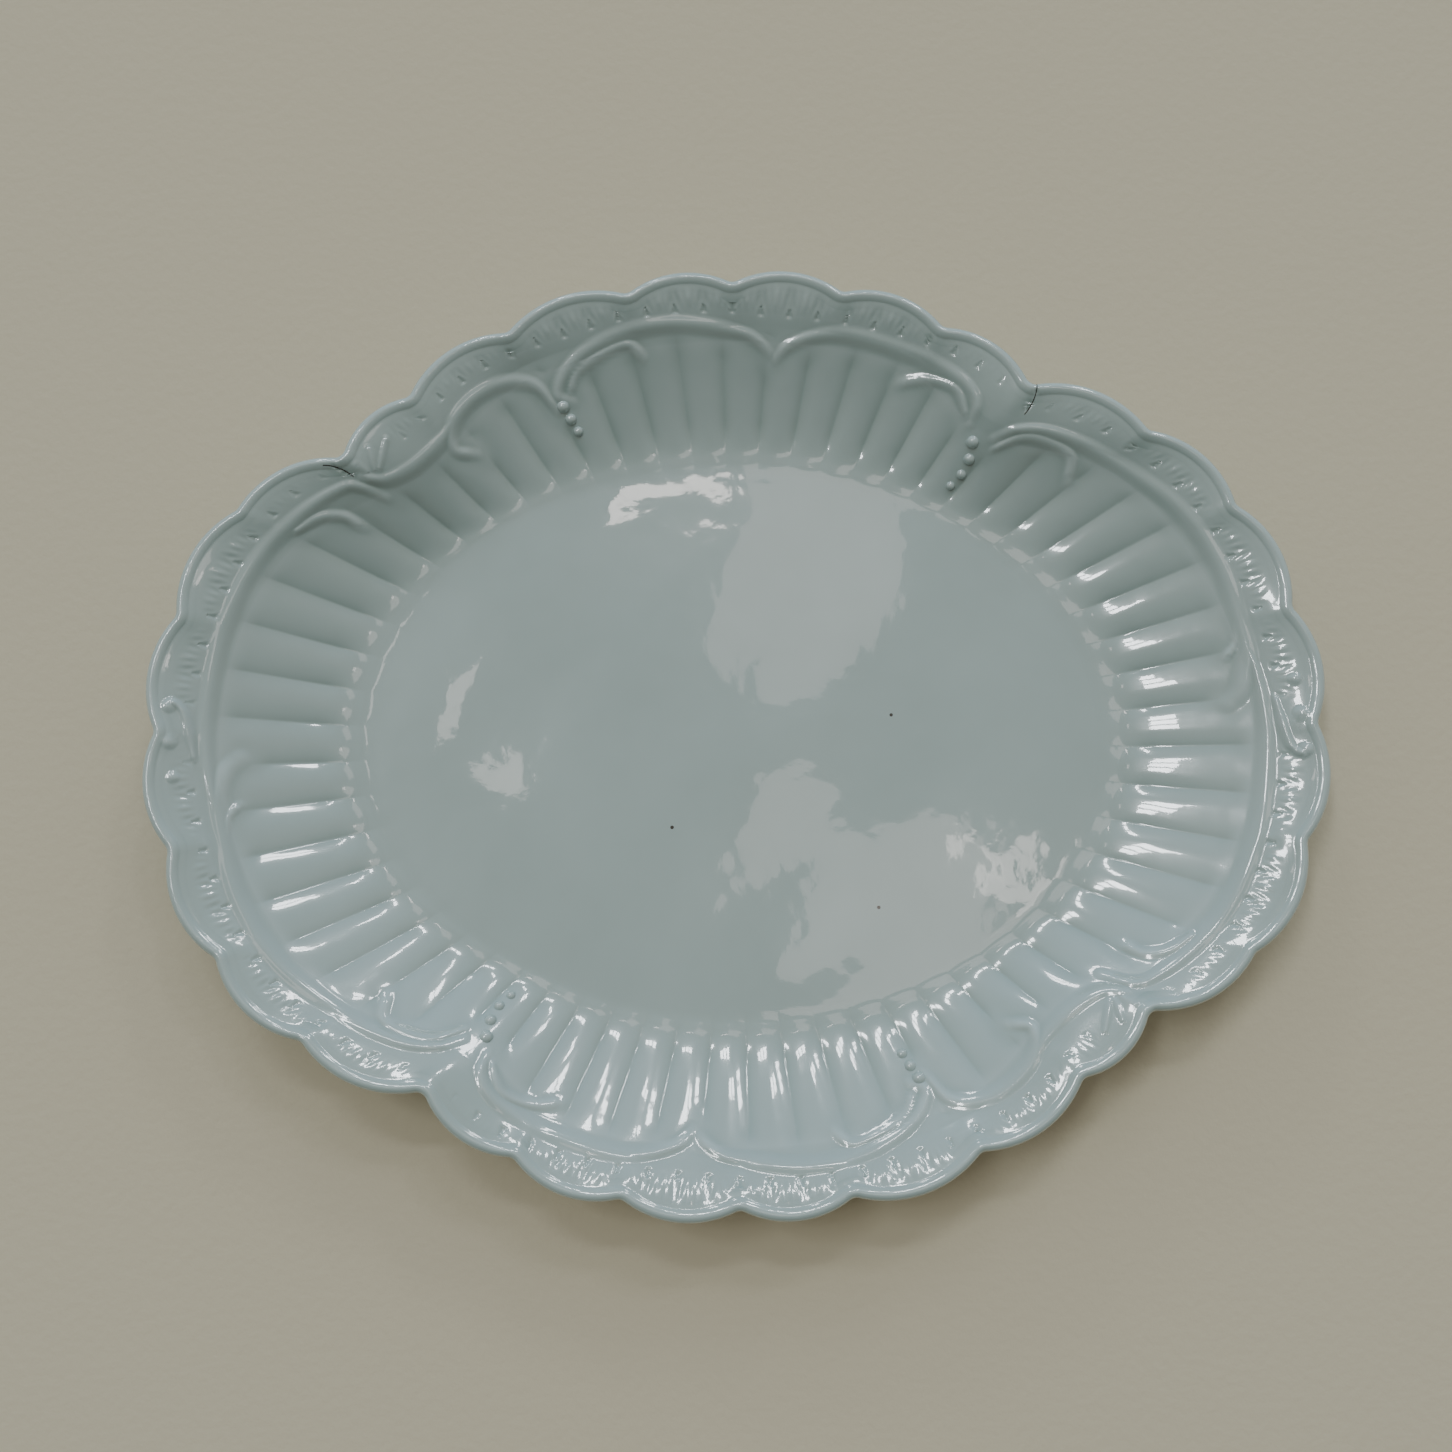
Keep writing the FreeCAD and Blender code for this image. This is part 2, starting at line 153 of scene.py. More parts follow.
def colour(name, description, text):
    return bpy.props.FloatVectorProperty(name=name, description=description, default=hex_colour(text),
                                         subtype="COLOR", size=4, min=0.0, max=1.0)


def side(node, axis):
    """Size of a CAD node along an axis, in millimetres."""
    low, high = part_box(node)
    return (high[axis] - low[axis]) / MM


def top_of(node):
    """Level of a CAD node's top, in millimetres."""
    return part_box(node)[1].z / MM


class PlatterSizes(bpy.types.PropertyGroup):
    """Sizes of the casting: its outer ones and its levels come from the frame."""

    long_side: length("Length", "Over the crests of the scallops along X", side("rolled_lip", 0))
    short_side: length("Width", "Over the crests of the scallops along Y", side("rolled_lip", 1))
    lip_top: length("Height", "Table to the top of the lip", top_of("rolled_lip"))
    well_top: length("Well level", "Table to the top of the well", top_of("well_floor"))
    base_under: length("Foot height", "Table to the base inside the foot ring", top_of("foot_ring"))
    shoulder_top: length("Shoulder level", "Table to the foot of the scrolls", top_of("gadrooned_wall"))
    wall_thick: length("Wall thickness", "Thickness of the wall between the gadroons", 3.8)
    gadroon_rise: length("Gadroon rise", "Crown of a gadroon above its valleys", 1.0)
    roll_radius: length("Lip roll", "Radius of the rolled edge", 1.9)
    foot_long: length("Foot length", "Outside of the foot ring along X", side("foot_ring", 0))
    foot_short: length("Foot breadth", "Outside of the foot ring along Y", side("foot_ring", 1))
    foot_width: length("Foot width", "Wall of the foot ring", 5.0)


class PlatterColours(bpy.types.PropertyGroup):
    """Colours of the finishes and the stage."""

    glaze: colour("Glaze", "Thin glaze over the white body", "#B4CAC8")
    # the pooled colour is partly glaze pooling and partly painted shade in the valleys, creases and recesses
    pooled_and_shaded: colour("Pooled glaze", "Glaze where it runs thick in valleys", "#90A9A4")
    speck: colour("Iron speck", "Fired iron specks and the opened creases", "#2B2A26")
    bare: colour("Bare foot", "Unglazed porcelain wiped before firing", "#D8D1C3")
    worn: colour("Worn foot", "Bare foot where tables have greyed it", "#A79F90")
    floor: colour("Floor", "Plain pale floor", "#CEC9B0")


def sizes():
    return bpy.context.scene.platter_sizes


def colours():
    return bpy.context.scene.platter_colours


def ease(v):
    """0 up to 0, 1 from 1, and a smooth rise between them."""
    v = np.clip(v, 0.0, 1.0)
    return v * v * (3.0 - 2.0 * v)


def bell(turn, middle, spread):
    """1 at the middle, falling smoothly to 0, the same half a turn away."""
    away = (turn - middle + 90.0) % 180.0 - 90.0
    return np.exp(-((away / spread) ** 2))


class Casting:
    """The surface of the whole platter, in millimetres, as one lattice that the pieces share."""

    def __init__(self):
        s = sizes()
        self.half_length, self.half_width = s.long_side / MM / 2.0, s.short_side / MM / 2.0
        self.well, self.shelf, self.top = s.well_top / MM, s.shoulder_top / MM, s.lip_top / MM
        self.under, self.thick = s.base_under / MM, s.wall_thick / MM
        self.rise, self.roll = s.gadroon_rise / MM, s.roll_radius / MM
        self.rim_top = self.top - LIP_STAND
        self.make_outline()
        self.make_band_length()
        self.cords = [(kind, self.smooth_line(places), widths, high)
                      for kind, places, widths, high in SCROLLS]
        self.make_band_foot()
        self.make_lattice()

    # ---- plan ----
    def place(self, turn, reach):
        """x and y of a place."""
        x = self.half_length * reach * np.cos(np.radians(turn))
        y = self.half_width * reach * np.sin(np.radians(turn))
        return np.stack([x, y], -1)

    def polar(self, x, y):
        """Turn and reach of a point."""
        turn = np.degrees(np.arctan2(y / self.half_width, x / self.half_length)) % 360.0
        return turn, np.hypot(x / self.half_length, y / self.half_width)

    def well_reach(self, turn):
        """Where the gadroons' noses start: an oval drawn in towards the first notch."""
        end = 0.5 + 0.5 * np.cos(np.radians(2.0 * turn))
        return 0.625 + 0.045 * end - 0.012 * bell(turn, 52.0, 17.0)

    def shoulder_reach(self, turn):
        """Foot of the scrolls: an oval drawn in at the notches."""
        end = 0.5 + 0.5 * np.cos(np.radians(2.0 * turn))
        return 0.890 + 0.018 * end - 0.085 * sum(bell(turn, middle, spread) for middle, spread in DRAWN_IN)

    def make_outline(self):
        """Scallops are arcs through the dips, and small arcs fill the dips."""
        dips = [self.place(turn + half, reach) for half in (0.0, 180.0) for turn, reach in DIPS]
        lobes = []
        for start, end in zip(dips, dips[1:] + dips[:1]):
            chord = end - start
            span = np.hypot(*chord)
            rise = SCALLOP_BULGE * span
            radius = (0.25 * span ** 2 + rise ** 2) / (2.0 * rise)
            outward = np.array([chord[1], -chord[0]]) / span
            lobes.append(((start + end) / 2.0 + outward * (rise - radius), radius))
        hollows = []
        for (centre, radius), (after, after_radius) in zip(lobes, lobes[1:] + lobes[:1]):
            near, far = radius + HOLLOW_RADIUS, after_radius + HOLLOW_RADIUS
            across = after - centre
            span = np.hypot(*across)
            along = (span ** 2 + near ** 2 - far ** 2) / (2.0 * span)
            outward = np.array([across[1], -across[0]]) / span
            hollows.append(centre + across / span * along + outward * math.sqrt(near ** 2 - along ** 2))
        points = []
        for index, (centre, radius) in enumerate(lobes):
            first, last = hollows[index - 1] - centre, hollows[index] - centre
            begin = math.atan2(first[1], first[0])
            sweep = (math.atan2(last[1], last[0]) - begin) % (2.0 * math.pi)
            angles = begin + sweep * np.linspace(0.0, 1.0, 61)
            points.append(centre + radius * np.stack([np.cos(angles), np.sin(angles)], -1))
            hollow = hollows[index]
            here, there = centre - hollow, lobes[(index + 1) % len(lobes)][0] - hollow
            begin = math.atan2(here[1], here[0])
            sweep = (math.atan2(there[1], there[0]) - begin + math.pi) % (2.0 * math.pi) - math.pi
            angles = begin + sweep * np.linspace(0.0, 1.0, 13)[1:-1]
            points.append(hollow + HOLLOW_RADIUS * np.stack([np.cos(angles), np.sin(angles)], -1))
        points = np.vstack(points)
        turns, reaches = self.polar(points[:, 0], points[:, 1])
        order = np.argsort(turns)
        self.edge_turns, self.edge_reaches = turns[order], reaches[order]

    def edge_reach(self, turn):
        return np.interp(turn % 360.0, self.edge_turns, self.edge_reaches, period=360.0)

    def make_band_length(self):
        """Share of the way round the rim at each turn, so that the ruffle's fans are equally wide."""
        turns = np.arange(0.0, 360.5, 0.5)
        points = self.place(turns, 0.945)
        steps = np.hypot(*np.diff(points, axis=0).T)
        self.band_turns, self.band_share = turns, np.concatenate([[0.0], np.cumsum(steps)]) / steps.sum()
        self.fan_width = steps.sum() / FANS

    def smooth_line(self, places):
        """Points a quarter of a millimetre apart on a smooth line through the places."""
        spots = np.array([self.place(turn, reach) for turn, reach in places])
        spots = np.vstack([2 * spots[0] - spots[1], spots, 2 * spots[-1] - spots[-2]])
        parts = []
        for a, b, c, d in zip(spots, spots[1:], spots[2:], spots[3:]):
            u = np.linspace(0.0, 1.0, max(2, int(np.hypot(*(c - b)) / 0.25)), endpoint=False)[:, None]
            parts.append(0.5 * (2 * b + (c - a) * u + (2 * a - 5 * b + 4 * c - d) * u ** 2
                                + (3 * b - a - 3 * c + d) * u ** 3))
        return np.vstack(parts + [spots[-2:-1]])

    def make_band_foot(self):
        """Reach of the rim's inner border at each turn: along the frames, but straight over their cusps."""
        turns = np.arange(0.0, 360.0, 0.5)
        foot = self.shoulder_reach(turns)
        for kind, line, _, _ in self.cords:
            if kind == "frame":
                for half in (1.0, -1.0):
                    turn, reach = self.polar(*(line * half).T)
                    np.maximum.at(foot, np.round(turn * 2.0).astype(int) % len(foot), reach)
        widest = np.max([np.roll(foot, step) for step in range(-8, 9)], axis=0)
        smooth = np.mean([np.roll(widest, step) for step in range(-8, 9)], axis=0)
        self.foot_turns, self.foot_reaches = turns, smooth

    def foot_reach(self, turn):
        return np.interp(turn % 360.0, self.foot_turns, self.foot_reaches, period=360.0)

    @staticmethod
    def near(line, x, y, limit):
        """For the places within a limit of a line: which they are, how far off, and how far along."""
        low, high = line.min(0) - limit, line.max(0) + limit
        found = np.nonzero((x > low[0]) & (x < high[0]) & (y > low[1]) & (y < high[1]))[0]
        away, along = np.empty(len(found)), np.empty(len(found))
        for start in range(0, len(found), 8192):
            part = found[start:start + 8192]
            square = (x[part, None] - line[None, :, 0]) ** 2 + (y[part, None] - line[None, :, 1]) ** 2
            nearest = square.argmin(1)
            away[start:start + 8192] = np.sqrt(square[np.arange(len(part)), nearest])
            along[start:start + 8192] = nearest / (len(line) - 1.0)
        close = away < limit
        return found[close], away[close], along[close]

    # ---- relief ----
    def scrolls(self, x, y):
        """Height of the cords, distance to the nearest frame, and how much a hook smooths what it lies on."""
        cord, gap, calm = np.zeros(len(x)), np.full(len(x), 99.0), np.zeros(len(x))
        for kind, line, (first, middle, last), high in self.cords:
            for half in (1.0, -1.0):
                found, away, along = self.near(line * half, x, y, 12.0)
                width = np.where(along < 0.3, first + (middle - first) * ease(along / 0.3),
                                 middle + (last - middle) * ease((along - 0.6) / 0.4))
                full = high * (0.45 + 0.55 * ease(np.minimum(along, 1.0 - along) / 0.06))
                shape = full * np.cos(np.clip(away / width, 0.0, 1.0) * math.pi / 2.0) ** 2
                cord[found] = np.maximum(cord[found], shape)
                if kind == "frame":
                    gap[found] = np.minimum(gap[found], away)
                elif kind == "hook":
                    calm[found] = np.maximum(calm[found], np.exp(-((away / HOOK_REACH) ** 2)))
        for turn, reach, radius, high in KNOBS:
            for half in (0.0, 180.0):
                spot = self.place(turn + half, reach)
                away = np.hypot(x - spot[0], y - spot[1])
                cord += high * np.clip(1.0 - (away / radius) ** 2, 0.0, 1.0) ** 1.5
        return cord, gap, calm

    def gadroon_phase(self, turn):
        """Counts the gadroons round the wall, whole at the valleys. They are closer on the long sides."""
        index = np.arange(-2.0, 63.0)
        even = 6.0 * index + 2.7
        return np.interp(turn % 360.0, even + 3.5 * np.sin(np.radians(2.0 * even + 20.0)), index)

    def height(self, x, y):
        """Level of the upper surface, without the lip's roll."""
        turn, reach = self.polar(x, y)
        well, shoulder, edge = self.well_reach(turn), self.shoulder_reach(turn), self.edge_reach(turn)
        scale = np.hypot(x, y) / np.maximum(reach, 1e-6)          # mm for one unit of reach, at this turn
        climb = (reach - well) / (shoulder - well)
        cord, gap, calm = self.scrolls(x, y)

        # The wall climbs from the well; gadroons stand on it as convex lobes with sharp valleys, which
        # are deepest near the noses, run out shallow towards the shoulder and end in a soft recess.
        crown = self.well + (self.shelf - self.well + RECESS) * np.clip(climb, 0.0, 1.0) ** WALL_BEND
        crown = crown + WALL_DIVE * np.minimum(climb, 0.0)
        phase = self.gadroon_phase(turn)
        across = 2.0 * (phase - np.floor(phase)) - 1.0
        room = np.minimum(gap, (shoulder - reach) * scale + 1.5)
        end = ease((END_ROOM - room) / END_RUN)
        depth = self.rise * (NOSE_DEPTH + (1.0 - NOSE_DEPTH) * ease(climb / NOSE_RUN))
        depth = depth * (1.0 - OUTER_FADE * ease((climb - FADE_START) / (1.0 - FADE_START)))
        depth = depth * (1.0 - HOOK_CALM * calm) * (1.0 - end)
        wall = crown - depth * across ** 2 - RECESS * end
        wall = self.well + FLOOR_BLEND * np.logaddexp(0.0, (wall - self.well) / FLOOR_BLEND)

        # The rim flares out and flattens towards the lip.
        out = np.clip((reach - shoulder) / (edge - shoulder), 0.0, 1.0)
        rim = self.shelf + (self.rim_top - self.shelf) * (1.0 - (1.0 - out) ** RIM_BEND)
        level = np.where(climb < 1.0, wall, rim) + cord
        level += self.ruffle(turn, (edge - reach) * scale, (edge - self.foot_reach(turn)) * scale)
        sag = np.sin(x / 19.0 + 1.3) * np.cos(y / 15.0 - 0.4) + 0.6 * np.sin(x / 9.0 - y / 12.0)
        return level + SAG * sag * ease((0.66 - reach) / 0.2)

    def ruffle(self, turn, inward, band):
        """Fans of fine strokes on the rim, with a pointed pit between two fans. It takes the distance in from
        the edge and the width of the whole rim, and leaves the notches and the knobs alone."""
        quiet = np.clip(bell(turn, 55.0, 6.0) + bell(turn, 137.5, 8.0) + 0.9 * bell(turn, 0.5, 5.0), 0.0, 1.0)
        smooth = 5.5 + 1.5 * np.cos(np.radians(2.0 * turn))        # mm, plain border inside the edge
        start = inward - smooth
        deep = np.clip(band - smooth - 3.0, 3.0, 14.0)             # mm, length of the strokes
        share = np.clip(start / deep, 0.0, 1.0)
        fans = np.interp(turn % 360.0, self.band_turns, self.band_share) * FANS
        across = (fans - np.floor(fans) - 0.5) * self.fan_width
        spread = across / (1.0 - 0.30 * share)                     # a fan narrows inwards
        present = ease(start / 4.0) * ease((deep - start) / 3.5) * (1.0 - quiet)
        level = present * (STROKE_HEIGHT * np.cos(2.0 * math.pi * spread / STROKE_PERIOD)
                           + FAN_SWELL * np.cos(2.0 * math.pi * across / self.fan_width))
        beside = (fans + 0.5 - np.floor(fans + 0.5) - 0.5) * self.fan_width
        inside = start - (deep - 2.4)
        half = np.clip(inside, 0.0, 3.0) * 0.55
        pit = np.clip(1.0 - np.abs(beside) / np.maximum(half, 1e-3), 0.0, 1.0) * (inside > 0.0)
        return level - PIT_DEPTH * pit * ease((deep + 0.8 - start) / 1.2) * (1.0 - quiet)

    def underside(self, x, y):
        """Level of the lower surface: smooth, a wall's thickness under the upper one."""
        turn, reach = self.polar(x, y)
        well, shoulder, edge = self.well_reach(turn), self.shoulder_reach(turn), self.edge_reach(turn)
        climb = np.clip((reach - well) / (shoulder - well), -1.0, 1.0)
        out = np.clip((reach - shoulder) / (edge - shoulder), 0.0, 1.0)
        rim = (self.rim_top - self.shelf) * (1.0 - (1.0 - out) ** RIM_BEND)
        wall = self.well + (self.shelf - self.well) * np.clip(climb, 0.0, 1.0) ** UNDER_BEND
        wall = wall + UNDER_DIVE * np.minimum(climb, 0.0)
        level = wall + rim - self.thick - LIP_THINNING + LIP_THINNING * out
        return self.under + UNDER_BLEND * np.logaddexp(0.0, (level - self.under) / UNDER_BLEND) - JOIN

    # ---- lattice ----
    def make_lattice(self):
        """Rings from the well's edge out over the lip and back underneath. Columns are kept by region."""
        turn = np.arange(AROUND) * 360.0 / AROUND
        edge = self.place(turn, self.edge_reach(turn))
        tangent = np.roll(edge, -1, axis=0) - np.roll(edge, 1, axis=0)
        inward = np.stack([-tangent[:, 1], tangent[:, 0]], -1) / np.hypot(*tangent.T)[:, None]
        scale = np.hypot(*self.place(turn, 1.0).T)
        well, shoulder = self.well_reach(turn), self.shoulder_reach(turn)
        well_seam = self.place(turn, well - WELL_SEAM)
        wall_seam = self.place(turn, shoulder - MOULDING_INSIDE / scale)
        rim_seam = self.place(turn, shoulder + MOULDING_OUTSIDE / scale)
        lip_seam = edge + inward * LIP_SEAM
        self.columns, plan, level = {}, [], []

        def add(region, points, heights):
            begin = len(plan)
            plan.extend(points)
            level.extend(heights)
            self.columns[region] = (begin, len(plan))

        def between(start, end, count, with_start=False):
            shares = np.linspace(0.0, 1.0, count + 1)[0 if with_start else 1:]
            return [start + (end - start) * share for share in shares]

        for region, start, end, count in (("wall", well_seam, wall_seam, WALL_STEPS),
                                          ("moulding", wall_seam, rim_seam, MOULDING_STEPS),
                                          ("rim", rim_seam, lip_seam, RIM_STEPS)):
            points = between(start, end, count, region == "wall")
            add(region, points, [self.height(p[:, 0], p[:, 1]) for p in points])
        # the lip: up the inside of the roll, then round it
        beside_roll = np.linspace(LIP_SEAM, 4.0, 5)[1:]
        on_roll = self.roll + self.roll * np.cos(np.radians(np.arange(12, 91, 13)))
        points, heights = [], []
        for offset in np.concatenate([beside_roll, on_roll]):
            p = edge + inward * offset
            rolled = np.sqrt(np.clip(1.0 - ((offset - self.roll) / self.roll) ** 2, 0.0, 1.0))
            points.append(p)
            heights.append(self.height(p[:, 0], p[:, 1]) + LIP_STAND * rolled ** 1.6)
        crest = heights[-1]
        for angle in np.radians(np.arange(78, -91, -12)):
            points.append(edge + inward * self.roll * (1.0 - math.cos(angle)))
            heights.append(crest - self.roll + self.roll * math.sin(angle))
        add("lip", points, heights)
        points = between(edge + inward * self.roll, lip_seam, UNDER_LIP_STEPS)
        shares = ease(np.linspace(0.0, 1.0, UNDER_LIP_STEPS + 1)[1:])
        add("under_lip", points, [heights[-1] * (1.0 - share) + self.underside(p[:, 0], p[:, 1]) * share
                                  for share, p in zip(shares, points)])
        for region, start, end, count in (("under_rim", lip_seam, rim_seam, UNDER_RIM_STEPS),
                                          ("under_moulding", rim_seam, wall_seam, UNDER_MOULDING_STEPS),
                                          ("under_wall", wall_seam, well_seam, UNDER_WALL_STEPS)):
            points = between(start, end, count)
            add(region, points, [self.underside(p[:, 0], p[:, 1]) for p in points])

        self.points = np.dstack([np.array(plan), np.array(level)])           # column, turn, xyz
        for spot_out, spot_in in CREASES:
            self.open_crease(np.array(spot_out), np.array(spot_in))
        onward = np.roll(self.points, -1, axis=1) - np.roll(self.points, 1, axis=1)
        outward = np.gradient(self.points, axis=0)
        normals = np.cross(outward, onward)
        self.normals = normals / np.linalg.norm(normals, axis=2, keepdims=True)
        self.make_pooling_and_shade()

    def open_crease(self, outer, inner):
        """A hairline crease in the glaze, from a notch inwards."""
        line = inner + (outer - inner) * np.linspace(0.0, 1.1, 60)[:, None]
        flat = self.points.reshape(-1, 3)
        above = flat[:, 2] > self.rim_top - 3.5
        found, away, along = self.near(line, flat[:, 0], flat[:, 1], 1.2)
        flat[found, 2] -= 0.5 * np.exp(-((away / 0.35) ** 2)) * above[found] * ease(along * 4.0)

    def make_pooling_and_shade(self):
        """How thick the glaze lies, and painted shade: the glaze runs off ridges and pools in valleys, and
        the same mask paints shade into the valleys, creases and recesses.
        """
        level = self.points[..., 2]
        mean = np.zeros_like(level)
        reach = 4
        for step in range(-reach, reach + 1):
            mean += np.roll(level, 2 * step, axis=1) / (2 * reach + 1)
        padded = np.pad(level, ((reach, reach), (0, 0)), mode="edge")
        along = sum(padded[k:k + len(level)] for k in range(2 * reach + 1)) / (2 * reach + 1)
        # valleys, creases and recesses score high and ridges low: glaze pooling, and painted shade
        self.pool = np.clip(0.5 + 0.45 * (mean - level) + 0.45 * (along - level), 0.0, 1.0)


MADE = {}


def casting():
    """The casting, worked out once for all the pieces."""
    if "casting" not in MADE:
        MADE["casting"] = Casting()
    return MADE["casting"]


def deselect():
    bpy.ops.object.select_all(action="DESELECT")


def finish_piece(piece, name, material):
    """Smooth shading, from the casting's own slopes where they are kept, the finish, and the tie to the
    platter's body. Each piece has the name of the CAD node that it stands for."""
    piece.name = piece.data.name = name
    mesh = piece.data
    piece.select_set(True)
    bpy.context.view_layer.objects.active = piece
    bpy.ops.object.shade_smooth()
    if "slope" in mesh.attributes:
        normals = np.zeros(len(mesh.vertices) * 3, np.float32)
        mesh.attributes["slope"].data.foreach_get("vector", normals)
        mesh.attributes.remove(mesh.attributes["slope"])
        mesh.normals_split_custom_set_from_vertices(normals.reshape(-1, 3))
    mesh.materials.clear()
    mesh.materials.append(material)
    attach(piece, BODY)
    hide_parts(name)
    deselect()


def set_shape(piece, points, pool, normals=None):
    """Moves a primitive's vertices to their places (mm) and keeps the glaze's thickness with its painted
    shade, and the slopes.
    """
    mesh = piece.data
    mesh.vertices.foreach_set("co", (np.asarray(points) * MM).astype(np.float32).ravel())
    attribute = mesh.attributes.new("glaze_pool_and_shade", "FLOAT", "POINT")
    attribute.data.foreach_set("value", np.asarray(pool, np.float32).ravel())
    if normals is not None:
        attribute = mesh.attributes.new("slope", "FLOAT_VECTOR", "POINT")
        attribute.data.foreach_set("vector", np.asarray(normals, np.float32).ravel())
    mesh.update()


def ring_piece(name, over, under):
    """A closed ring from two regions of the lattice: a grid goes over the top from inside to outside and back
    underneath, and its edges are merged both ways. Each region but the first starts at its neighbour's last
    column, and the lip's underside goes on from its roll."""
    c = casting()
    order = []
    for region in (over, under):
        first, last = c.columns[region]
        order += range(first if region in ("wall", "under_lip") else first - 1, last)
    deselect()
    bpy.ops.mesh.primitive_grid_add(x_subdivisions=AROUND, y_subdivisions=len(order), size=1.0,
                                    location=(0.0, 0.0, 0.0))
    piece = bpy.context.view_layer.objects.active
    flat = np.array([v.co for v in piece.data.vertices], float)
    turn = np.round((flat[:, 0] + 0.5) * AROUND).astype(int) % AROUND
    column = np.array(order)[np.round((flat[:, 1] + 0.5) * len(order)).astype(int) % len(order)]
    set_shape(piece, c.points[column, turn], c.pool[column, turn], c.normals[column, turn])
    bpy.ops.object.mode_set(mode="EDIT")
    bpy.ops.mesh.select_all(action="SELECT")
    bpy.ops.mesh.remove_doubles(threshold=0.000001)
    bpy.ops.mesh.normals_make_consistent(inside=False)
    bpy.ops.object.mode_set(mode="OBJECT")
    finish_piece(piece, name, glaze_material())


# ---- finishes ----
def add_node(tree, kind, inputs=(), **settings):
    """Adds a shader node. Settings are its own values; each of its inputs that isn't left as it is comes as
    (name or number, value or another node's output)."""
    node = tree.nodes.new("ShaderNode" + kind)
    for key, value in settings.items():
        setattr(node, key, value)
    for key, value in inputs:
        if isinstance(value, bpy.types.NodeSocket):
            tree.links.new(node.inputs[key], value)
        else:
            node.inputs[key].default_value = value
    return node


def new_material(name):
    material = bpy.data.materials.new(name)
    material.use_nodes = True
    material.node_tree.nodes.clear()
    return material, material.node_tree


def glaze_material():
    """Glossy feldspar glaze over white porcelain: a cool white that turns grey-green where the glaze is thick
    and, as painted shade, in the valleys, creases and recesses, with a wet, mirror-like skin that is very
    slightly wavy, and a few fired iron specks."""
    if "glazed_porcelain" in bpy.data.materials:
        return bpy.data.materials["glazed_porcelain"]
    material, tree = new_material("glazed_porcelain")
    seen = add_node(tree, "TexCoord").outputs["Object"]
    pool = add_node(tree, "Attribute", attribute_name="glaze_pool_and_shade").outputs["Fac"]
    # clouding of the body and glaze, 35 mm across, strongest where the glaze is thick and where the valleys
    # carry painted shade
    cloud = add_node(tree, "TexNoise", [("Vector", seen), ("Scale", 1.0 / (35.0 * MM)),
                                        ("Detail", 3.0), ("Roughness", 0.55)])
    thick = add_node(tree, "Math", [(0, cloud.outputs["Fac"]), (1, pool)], operation="MULTIPLY")
    mixed = add_node(tree, "Math", [(0, pool), (1, thick.outputs[0])], operation="ADD")
    shade = add_node(tree, "MapRange", [("Value", mixed.outputs[0]), ("From Min", 0.35),
                                        ("From Max", 1.35)])
    # the pooled colour darkens the hollows: partly glaze pooling, partly painted shade in the valleys,
    # creases and recesses
    body = add_node(tree, "Mix", [("Factor", shade.outputs[0]), (6, colours().glaze),
                                  (7, colours().pooled_and_shaded)], data_type="RGBA")
    stained = add_node(tree, "Mix", [("Factor", dark_marks(tree, seen)), (6, body.outputs[2]),
                                     (7, colours().speck)], data_type="RGBA")
    # waviness of the fired glaze, 9 mm across, and a finer orange peel, 1.5 mm across
    slow = add_node(tree, "TexNoise", [("Vector", seen), ("Scale", 1.0 / (9.0 * MM)), ("Detail", 1.0)])
    fine = add_node(tree, "TexNoise", [("Vector", seen), ("Scale", 1.0 / (1.5 * MM)), ("Detail", 1.0)])
    wavy = add_node(tree, "Bump", [("Height", slow.outputs["Fac"]), ("Strength", 0.10),
                                   ("Distance", 0.8 * MM)])
    peel = add_node(tree, "Bump", [("Height", fine.outputs["Fac"]), ("Normal", wavy.outputs[0]),
                                   ("Strength", 0.02), ("Distance", 0.2 * MM)])
    # the body is nearly matt and lets a little light in; the glaze is a glassy coat
    surface = add_node(tree, "BsdfPrincipled", [
        ("Base Color", stained.outputs[2]), ("Normal", peel.outputs[0]), ("Coat Normal", peel.outputs[0]),
        ("Roughness", 0.16), ("IOR", 1.5), ("Coat Weight", 1.0), ("Coat Roughness", 0.03), ("Coat IOR", 1.75),
        ("Subsurface Weight", 0.12), ("Subsurface Radius", (1.0, 0.9, 0.75)), ("Subsurface Scale", 1.2 * MM)])
    add_node(tree, "OutputMaterial", [("Surface", surface.outputs[0])])
    return material


